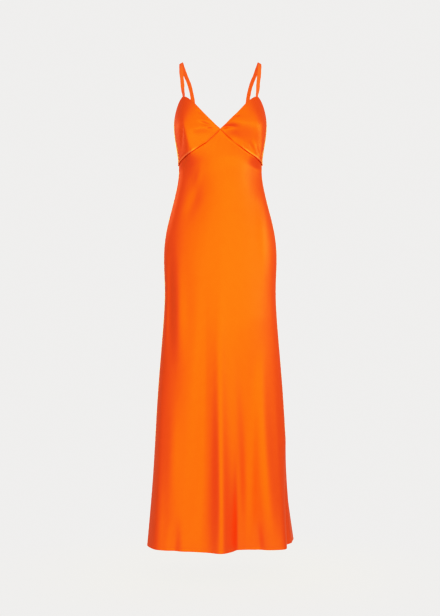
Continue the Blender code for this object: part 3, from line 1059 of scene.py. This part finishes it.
def stitch_tree():
    """Short lengths of thread, evenly spaced along a path."""
    tree = bpy.data.node_groups.new("row_of_stitches", "GeometryNodeTree")
    face = tree.interface
    face.new_socket("Geometry", in_out="INPUT", socket_type="NodeSocketGeometry")
    for label in ("Pitch", "Stitch Length", "Thread"):
        face.new_socket(label, in_out="INPUT", socket_type="NodeSocketFloat")
    face.new_socket("Material", in_out="INPUT", socket_type="NodeSocketMaterial")
    face.new_socket("Geometry", in_out="OUTPUT", socket_type="NodeSocketGeometry")
    given, result = add_node(tree, "NodeGroupInput"), add_node(tree, "NodeGroupOutput")
    path = add_node(tree, "GeometryNodeMeshToCurve")
    spots = add_node(tree, "GeometryNodeCurveToPoints", mode="LENGTH")
    thread = add_node(tree, "GeometryNodeMeshUVSphere", {"Segments": 6, "Rings": 5, "Radius": 0.5})
    size = add_node(tree, "ShaderNodeCombineXYZ")
    shaped = add_node(tree, "GeometryNodeTransform")
    smooth = add_node(tree, "GeometryNodeSetShadeSmooth")
    aligned = add_node(tree, "FunctionNodeAlignRotationToVector", axis="Z")
    placed = add_node(tree, "GeometryNodeInstanceOnPoints")
    real = add_node(tree, "GeometryNodeRealizeInstances")
    finished = add_node(tree, "GeometryNodeSetMaterial")
    join(
        tree,
        (given, "Geometry", path, "Mesh"),
        (path, "Curve", spots, "Curve"),
        (given, "Pitch", spots, "Length"),
        (given, "Thread", size, "X"),
        (given, "Thread", size, "Y"),
        (given, "Stitch Length", size, "Z"),
        (thread, "Mesh", shaped, "Geometry"),
        (size, "Vector", shaped, "Scale"),
        (shaped, "Geometry", smooth, "Geometry"),
        (spots, "Points", placed, "Points"),
        (smooth, "Geometry", placed, "Instance"),
        (spots, "Tangent", aligned, "Vector"),
        (aligned, "Rotation", placed, "Rotation"),
        (placed, "Instances", real, "Geometry"),
        (real, "Geometry", finished, "Geometry"),
        (given, "Material", finished, "Material"),
        (finished, "Geometry", result, "Geometry"),
    )
    return tree


def stitched_row(name, path, sewing):
    """A row of stitches along a path of points, as a plain mesh."""
    mesh = bpy.data.meshes.new(name + "_path")
    mesh.from_pydata(path.tolist(), [(i, i + 1) for i in range(len(path) - 1)], [])
    guide = bpy.data.objects.new(name + "_path", mesh)
    bpy.context.scene.collection.objects.link(guide)
    tree = bpy.data.node_groups.get("row_of_stitches") or stitch_tree()
    modifier = guide.modifiers.new("stitches", "NODES")
    modifier.node_group = tree
    wanted = {
        "Pitch": sewing.stitch_pitch,
        "Stitch Length": sewing.stitch_length,
        "Thread": sewing.thread,
        "Material": thread_material(),
    }
    for item in tree.interface.items_tree:
        if item.in_out == "INPUT" and item.name in wanted:
            modifier[item.identifier] = wanted[item.name]
    stitched = guide.evaluated_get(bpy.context.evaluated_depsgraph_get())
    made = bpy.data.meshes.new_from_object(stitched)
    made.name = name
    bpy.data.objects.remove(guide)
    bpy.data.meshes.remove(mesh)
    return made


# ---------------------------------------------------------------- stage

CAMERA_ASIDE = -0.0009
CAMERA_BELOW = 0.7475
SENSOR = 36.0  # millimetres, along the picture's long side

SOFT_LIGHT_FROM = (0.04, -0.98, 0.16)
SOFT_LIGHT_EDGE = (-0.06, 0.98)  # how sharply it falls off towards the back, as cosines
WARM_LIGHT = (1.0, 0.98, 0.07)
WHITE_LIGHT = (1.0, 0.95, 0.16)
COOL_LIGHT = (1.25, 1.04, 1.35)
RIM_LIGHT = (1.0, 1.0, 0.9)

# Each softbox: its name, place, aim, width and height, and colour. Its power is a setting
SOFTBOXES = (
    ("front_softbox", (0.5, -2.4, -0.35), (0.0, -0.1, -0.45), (4.4, 1.0), WARM_LIGHT),
    ("side_softbox", (1.20, -0.25, -0.35), (0.10, -0.05, -0.38), (1.2, 0.7), WHITE_LIGHT),
    ("rim_softbox", (-1.0, 0.75, -0.10), (-0.12, 0.0, -0.18), (0.5, 0.3), RIM_LIGHT),
    ("back_softbox", (0.0, 2.6, -0.60), (0.0, 0.1, -0.75), (1.6, 1.6), WARM_LIGHT),
)

# The picture's tones, as light in and tone out: the brightest ones ease off instead of clipping
SOFT_SHOULDER = (
    (0.0, 0.0),
    (0.60, 0.60),
    (0.80, 0.79),
    (1.04, 0.872),
    (1.25, 0.915),
    (1.55, 0.955),
    (2.0, 0.982),
    (3.0, 1.0),
)

FLOOR_RADIUS = 0.9
FLOOR_SIDES = 64
FLOOR_RINGS = 12
FLOOR_BELOW = 1.56
FLOOR_GLOW = 0.85
FLOOR_SOLID = 0.6  # how solid the floor is in its middle
FLOOR_FADE_FROM = 0.15


def set_tones(scene):
    """Plain colour management, with a soft shoulder so that bright satin keeps its hue."""
    view = scene.view_settings
    view.view_transform = "Standard"
    view.use_curve_mapping = True
    tones = view.curve_mapping
    tones.clip_max_x = SOFT_SHOULDER[-1][0]
    curve = tones.curves[3]
    curve.points[0].location = SOFT_SHOULDER[0]
    curve.points[1].location = SOFT_SHOULDER[-1]
    for light, tone in SOFT_SHOULDER[1:-1]:
        curve.points.new(light, tone)
    tones.update()


def add_camera(stage):
    """A level camera in front of the gown, a little to the side of its middle."""
    data = bpy.data.cameras.new("camera")
    data.sensor_width = SENSOR
    data.lens = SENSOR * stage.camera_distance / stage.picture_height
    camera = bpy.data.objects.new("camera", data)
    camera.location = (CAMERA_ASIDE, -stage.camera_distance, -CAMERA_BELOW)
    camera.rotation_euler = (math.radians(90.0), 0.0, 0.0)
    bpy.context.scene.collection.objects.link(camera)
    bpy.context.scene.camera = camera


def add_softbox(name, place, aim, size, colour, power):
    """A soft rectangular light that doesn't show itself."""
    data = bpy.data.lights.new(name, "AREA")
    data.shape = "RECTANGLE"
    data.size, data.size_y = size
    data.energy = power
    data.color = colour
    light = bpy.data.objects.new(name, data)
    light.location = place
    light.rotation_euler = (Vector(aim) - Vector(place)).to_track_quat("-Z", "Y").to_euler()
    light.visible_camera = False
    bpy.context.scene.collection.objects.link(light)


def add_world(stage):
    """A pale backdrop where the camera looks past the gown, and soft light, strongest in front."""
    world = bpy.data.worlds.new("studio")
    bpy.context.scene.world = world
    world.use_nodes = True
    tree = world.node_tree
    seen = tree.nodes["Background"]
    seen.inputs["Color"].default_value = opaque(stage.backdrop_colour)
    seen.inputs["Strength"].default_value = 1.0
    front = Vector(SOFT_LIGHT_FROM).normalized()
    ends = {"A": opaque(COOL_LIGHT, stage.back_light), "B": opaque(WARM_LIGHT, stage.front_light)}
    edge = {"From Min": SOFT_LIGHT_EDGE[0], "From Max": SOFT_LIGHT_EDGE[1]}
    way = add_node(tree, "ShaderNodeTexCoord")
    facing = add_node(tree, "ShaderNodeVectorMath", {1: front}, operation="DOT_PRODUCT")
    strength = add_node(tree, "ShaderNodeMapRange", edge, interpolation_type="SMOOTHERSTEP")
    blend = add_node(tree, "ShaderNodeMix", ends, data_type="RGBA")
    around = add_node(tree, "ShaderNodeBackground")
    looks = add_node(tree, "ShaderNodeLightPath")
    either = add_node(tree, "ShaderNodeMixShader")
    join(
        tree,
        (way, "Generated", facing, 0),
        (facing, "Value", strength, "Value"),
        (strength, "Result", blend, "Factor"),
        (blend, "Result", around, "Color"),
        (looks, "Is Camera Ray", either, "Fac"),
        (around, "Background", either, 1),
        (seen, "Background", either, 2),
        (either, "Shader", tree.nodes["World Output"], "Surface"),
    )


def floor_mesh():
    """A flat round floor of rings about a middle point."""
    points, faces = [(0.0, 0.0, -FLOOR_BELOW)], []
    for ring in range(1, FLOOR_RINGS + 1):
        for i in range(FLOOR_SIDES):
            turn = 2 * math.pi * i / FLOOR_SIDES
            reach = FLOOR_RADIUS * ring / FLOOR_RINGS
            points.append((reach * math.cos(turn), reach * math.sin(turn), -FLOOR_BELOW))
    for i in range(FLOOR_SIDES):
        faces.append((0, 1 + i, 1 + (i + 1) % FLOOR_SIDES))
    for ring in range(FLOOR_RINGS - 1):
        first = 1 + ring * FLOOR_SIDES
        for i in range(FLOOR_SIDES):
            j = (i + 1) % FLOOR_SIDES
            faces.append((first + i, first + FLOOR_SIDES + i, first + FLOOR_SIDES + j, first + j))
    mesh = bpy.data.meshes.new("floor")
    mesh.from_pydata(points, [], faces)
    return mesh


def floor_material(stage):
    """A pale floor that fades into the backdrop towards its rim."""
    colour = [stage.floor_tone * c / stage.backdrop_colour[0] for c in stage.backdrop_colour]
    material, tree, shader = new_material(
        "pale_floor",
        {
            "Base Color": opaque(colour),
            "Emission Color": opaque(stage.backdrop_colour),
            "Emission Strength": FLOOR_GLOW,
            "Roughness": 0.9,
            "Specular IOR Level": 0.1,
        },
    )
    fading = {"From Min": FLOOR_FADE_FROM, "From Max": FLOOR_RADIUS, "To Min": FLOOR_SOLID, "To Max": 0.0}
    place = add_node(tree, "ShaderNodeTexCoord")
    flat = add_node(tree, "ShaderNodeVectorMath", {1: (1.0, 1.0, 0.0)}, operation="MULTIPLY")
    reach = add_node(tree, "ShaderNodeVectorMath", operation="LENGTH")
    fade = add_node(tree, "ShaderNodeMapRange", fading, interpolation_type="SMOOTHSTEP")
    join(
        tree,
        (place, "Object", flat, 0),
        (flat, "Vector", reach, 0),
        (reach, "Value", fade, "Value"),
        (fade, "Result", shader, "Alpha"),
    )
    return material


def add_floor(stage):
    """A pale round floor under the hem."""
    mesh = floor_mesh()
    mesh.materials.append(floor_material(stage))
    floor = bpy.data.objects.new("floor", mesh)
    bpy.context.scene.collection.objects.link(floor)


# ---------------------------------------------------------------- operators


class GOWN_OT_stage(bpy.types.Operator):
    """Set up the camera, the soft lights, the pale backdrop and the floor"""

    bl_idname = "gown.stage"
    bl_label = "Stage"

    def execute(self, context):
        stage = context.scene.gown_stage
        add_camera(stage)
        add_world(stage)
        for name, place, aim, size, colour in SOFTBOXES:
            add_softbox(name, place, aim, size, colour, getattr(stage, name + "_power"))
        add_floor(stage)
        set_tones(context.scene)
        return {"FINISHED"}


class GOWN_OT_panels(bpy.types.Operator):
    """Make the front and back panels, with their folds, creases, side seams and hem stitches"""

    bl_idname = "gown.panels"
    bl_label = "Front and back panels"

    def execute(self, context):
        cloth, sewing = context.scene.gown_cloth, context.scene.gown_sewing
        panels = (
            ("front_panel", front_panel_grid(sewing), False, (0.66, 1.26), 0.587),
            ("back_panel", back_panel_grid(sewing), True, (0.74, 1.27), 0.649),
        )
        for node, (points, from_top, from_hem), turned_top, flat, area in panels:
            walls = edge_walls(points.shape[:2], from_top, from_hem, turned_top, cloth)
            panel = add_piece(node + "_satin", cloth_mesh(node, points, walls), satin_pair(), node)
            lifted = points + outward(points) * sewing.thread * STITCH_LIFT
            row = stitched_row(node + "_hem_stitches", lifted[:, HEM_STITCH_ROW], sewing)
            stitches = add_piece(node + "_hem_stitches", row, ())
        return {"FINISHED"}


class GOWN_OT_cups(bpy.types.Operator):
    """Make the two bust cups"""

    bl_idname = "gown.cups"
    bl_label = "Bust cups"

    def execute(self, context):
        cloth, sewing = context.scene.gown_cloth, context.scene.gown_sewing
        cups = (("cup_left", 1, LEFT_CUP_CREASES), ("cup_right", -1, RIGHT_CUP_CREASES))
        for node, side, creases in cups:
            # The last grid says where a highlight is painted along the cup's lower edge
            points, from_top, from_seam, pressed = cup_grid(side, creases, sewing)
            walls = edge_walls(points.shape[:2], from_top, from_seam, True, cloth)
            cup = add_piece(node + "_satin", cloth_mesh(node, points, walls, pressed), satin_pair(), node)
        return {"FINISHED"}


class GOWN_OT_straps(bpy.types.Operator):
    """Make the two shoulder straps"""

    bl_idname = "gown.straps"
    bl_label = "Shoulder straps"

    def execute(self, context):
        for node, side in (("strap_left", 1), ("strap_right", -1)):
            strap = add_piece(node + "_satin", strap_mesh(node, side), (strap_satin(),), node)
        return {"FINISHED"}


class GOWN_PT_panel(bpy.types.Panel):
    """Lists the steps that build the gown, and its settings"""

    bl_label = "Satin slip gown"
    bl_idname = "GOWN_PT_panel"
    bl_space_type = "VIEW_3D"
    bl_region_type = "UI"
    bl_category = "Gown"

    def draw(self, context):
        layout = self.layout
        for step in STEPS:
            layout.operator(step.bl_idname)
        for settings in (context.scene.gown_cloth, context.scene.gown_sewing, context.scene.gown_stage):
            box = layout.box()
            for name in settings.__annotations__:
                box.prop(settings, name)


STEPS = (GOWN_OT_stage, GOWN_OT_straps, GOWN_OT_panels, GOWN_OT_cups)
SETTINGS = (
    ("gown_cloth", GownClothSettings),
    ("gown_sewing", GownSewingSettings),
    ("gown_stage", GownStageSettings),
)


def register():
    for name, settings in SETTINGS:
        bpy.utils.register_class(settings)
        setattr(bpy.types.Scene, name, PointerProperty(type=settings))
    for made in (*STEPS, GOWN_PT_panel):
        bpy.utils.register_class(made)


def unregister():
    for made in reversed((*STEPS, GOWN_PT_panel)):
        bpy.utils.unregister_class(made)
    for name, settings in reversed(SETTINGS):
        delattr(bpy.types.Scene, name)
        bpy.utils.unregister_class(settings)


def main():
    register()
    bpy.ops.gown.stage()
    bpy.ops.gown.straps()
    bpy.ops.gown.panels()
    bpy.ops.gown.cups()


if __name__ == "__main__":
    main()
